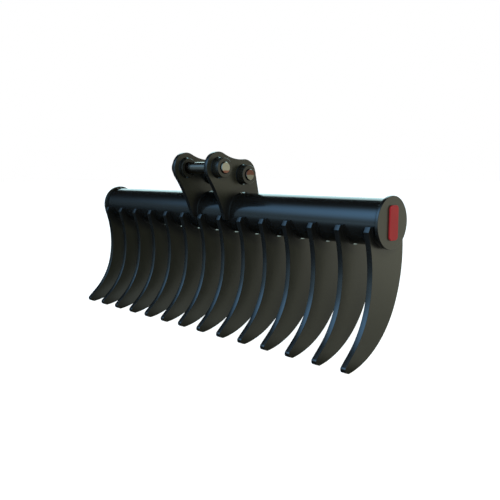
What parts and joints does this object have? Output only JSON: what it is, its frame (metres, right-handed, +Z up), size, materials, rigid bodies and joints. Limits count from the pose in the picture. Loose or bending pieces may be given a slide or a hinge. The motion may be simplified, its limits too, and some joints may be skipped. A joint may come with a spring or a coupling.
{
  "type": "excavator rake",
  "caption": "Raking attachment for an excavator: curved plate tines welded in a row under a round tube, with two ears and two steel hitch pins on top.",
  "frame": {"origin": "middle of the front hitch pin, half way between the two ears", "axes": "+X along the tube and the pins to the right-hand end, which has the red plate; +Y to the back, away from the tine tips; +Z up, from the tube to the hitch"},
  "size_m": [1.61, 0.3212, 0.7143],
  "materials": {
    "tine_paint": "satin black paint",
    "tube_paint": "semi-gloss black paint",
    "plate_paint": "satin black paint",
    "boss_paint": "satin black paint",
    "weld_paint": "black paint over weld beads",
    "pin_steel": "ground bright steel",
    "bolt_zinc": "bright zinc plate",
    "badge_red": "satin red paint"
  },
  "bodies": {
    "root": {"tine_01": "tine_paint", "tine_02": "tine_paint", "tine_03": "tine_paint", "tine_04": "tine_paint", "tine_05": "tine_paint", "tine_06": "tine_paint", "tine_07": "tine_paint", "tine_08": "tine_paint", "tine_09": "tine_paint", "tine_10": "tine_paint", "tine_11": "tine_paint", "tine_12": "tine_paint", "tine_13": "tine_paint", "tine_14": "tine_paint", "main_tube": "tube_paint", "end_cap_left": "plate_paint", "ear_left": "plate_paint", "boss_front_left": "boss_paint", "boss_rear_left": "boss_paint", "end_cap_right": "plate_paint", "ear_right": "plate_paint", "boss_front_right": "boss_paint", "boss_rear_right": "boss_paint", "hitch_pin_front": "pin_steel", "pin_bolt_front": "bolt_zinc", "pin_nut_front": "bolt_zinc", "hitch_pin_rear": "pin_steel", "pin_bolt_rear": "bolt_zinc", "pin_nut_rear": "bolt_zinc", "end_badge": "badge_red", "tine_welds": "weld_paint", "ear_welds": "weld_paint", "boss_welds": "weld_paint", "cap_welds": "weld_paint"}
  },
  "joints": []
}
